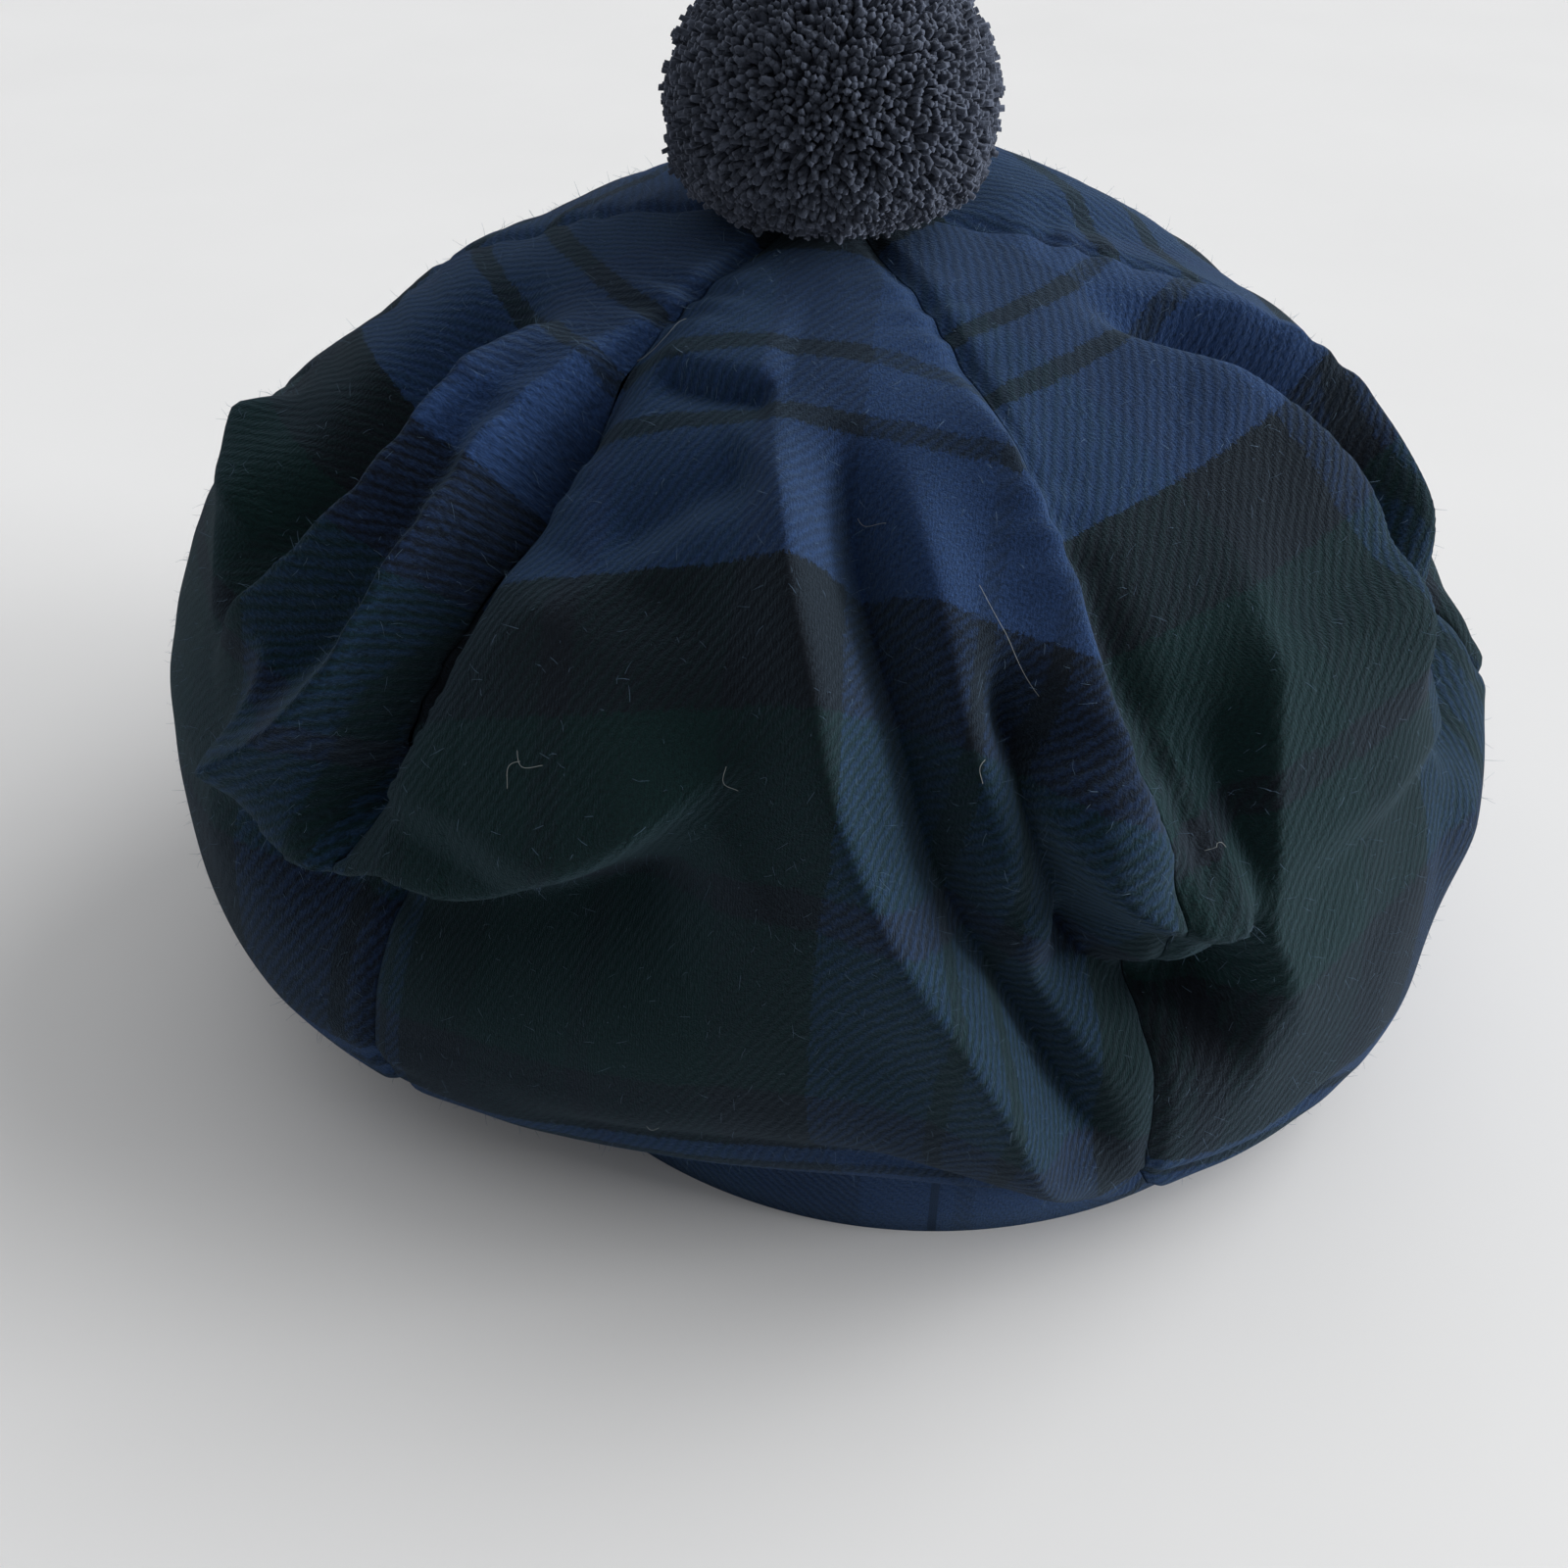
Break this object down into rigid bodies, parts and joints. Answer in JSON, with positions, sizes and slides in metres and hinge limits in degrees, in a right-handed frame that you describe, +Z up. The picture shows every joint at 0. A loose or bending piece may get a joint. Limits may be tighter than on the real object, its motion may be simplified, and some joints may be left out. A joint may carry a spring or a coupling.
{
  "type": "tam o'shanter",
  "caption": "Soft tartan tam o'shanter cap with a full, slouching gored crown, an upright cloth headband and a yarn pompom on top.",
  "frame": {"origin": "middle of the hat's outline in plan, on the surface that its headband stands on", "axes": "+Z up through the crown, -Y towards the front, +X towards the hat's side that is on the right as seen from the front"},
  "size_m": [0.248, 0.2268, 0.1933],
  "materials": {
    "crown_cloth": "soft brushed twill in a dark blue, green and black tartan",
    "band_cloth": "soft brushed twill, the tartan's blue stripe",
    "pompom_yarn": "dense cut yarn pile, black"
  },
  "bodies": {
    "root": {"gore_1": "crown_cloth", "gore_2": "crown_cloth", "gore_3": "crown_cloth", "gore_4": "crown_cloth", "gore_5": "crown_cloth", "gore_6": "crown_cloth", "headband": "band_cloth", "pompom": "pompom_yarn"}
  },
  "joints": []
}
